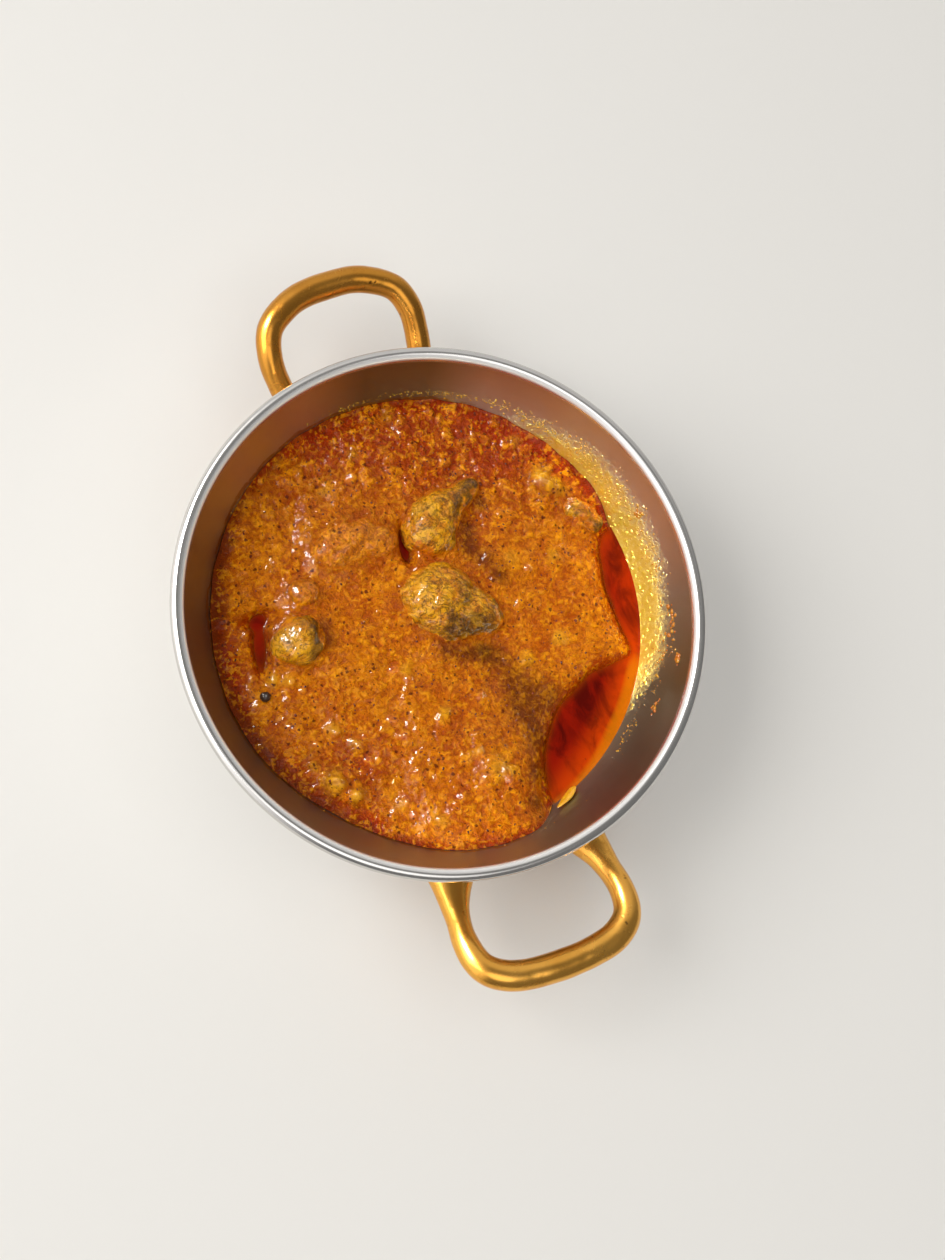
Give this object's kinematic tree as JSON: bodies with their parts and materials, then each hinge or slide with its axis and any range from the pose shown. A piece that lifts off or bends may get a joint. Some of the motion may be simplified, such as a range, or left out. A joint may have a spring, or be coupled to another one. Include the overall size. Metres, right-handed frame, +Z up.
{
  "type": "lamb karahi",
  "caption": "Lamb in a thick orange masala with pools of red oil, served in a round steel karahi with a rolled rim and cast brass loop handles.",
  "frame": {"origin": "centre of the bowl's flat base, on the surface it stands on", "axes": "+Z up, +Y through the back handle, so that both handles lie along Y; +X to the right of the pictured view"},
  "size_m": [0.17, 0.2411, 0.055],
  "materials": {
    "steel": "spun and satin, bright on the rolled edge",
    "brass": "cast and polished, with small pits and light tarnish",
    "masala": "thick grainy orange masala with a wet shine",
    "lamb": "braised lamb, olive brown and glazed with sauce",
    "ginger": "soft yellow, oily",
    "oil": "clear deep red spiced oil"
  },
  "bodies": {
    "root": {"bowl": "steel", "handle_back": "brass", "handle_front": "brass", "masala": "masala", "meat_upper": "lamb", "meat_centre": "lamb", "meat_back": "lamb", "meat_left": "lamb", "meat_knob": "lamb", "meat_right": "lamb", "ginger_sliver": "ginger", "oil_pool": "oil", "oil_left": "oil", "oil_middle": "oil"}
  },
  "joints": []
}
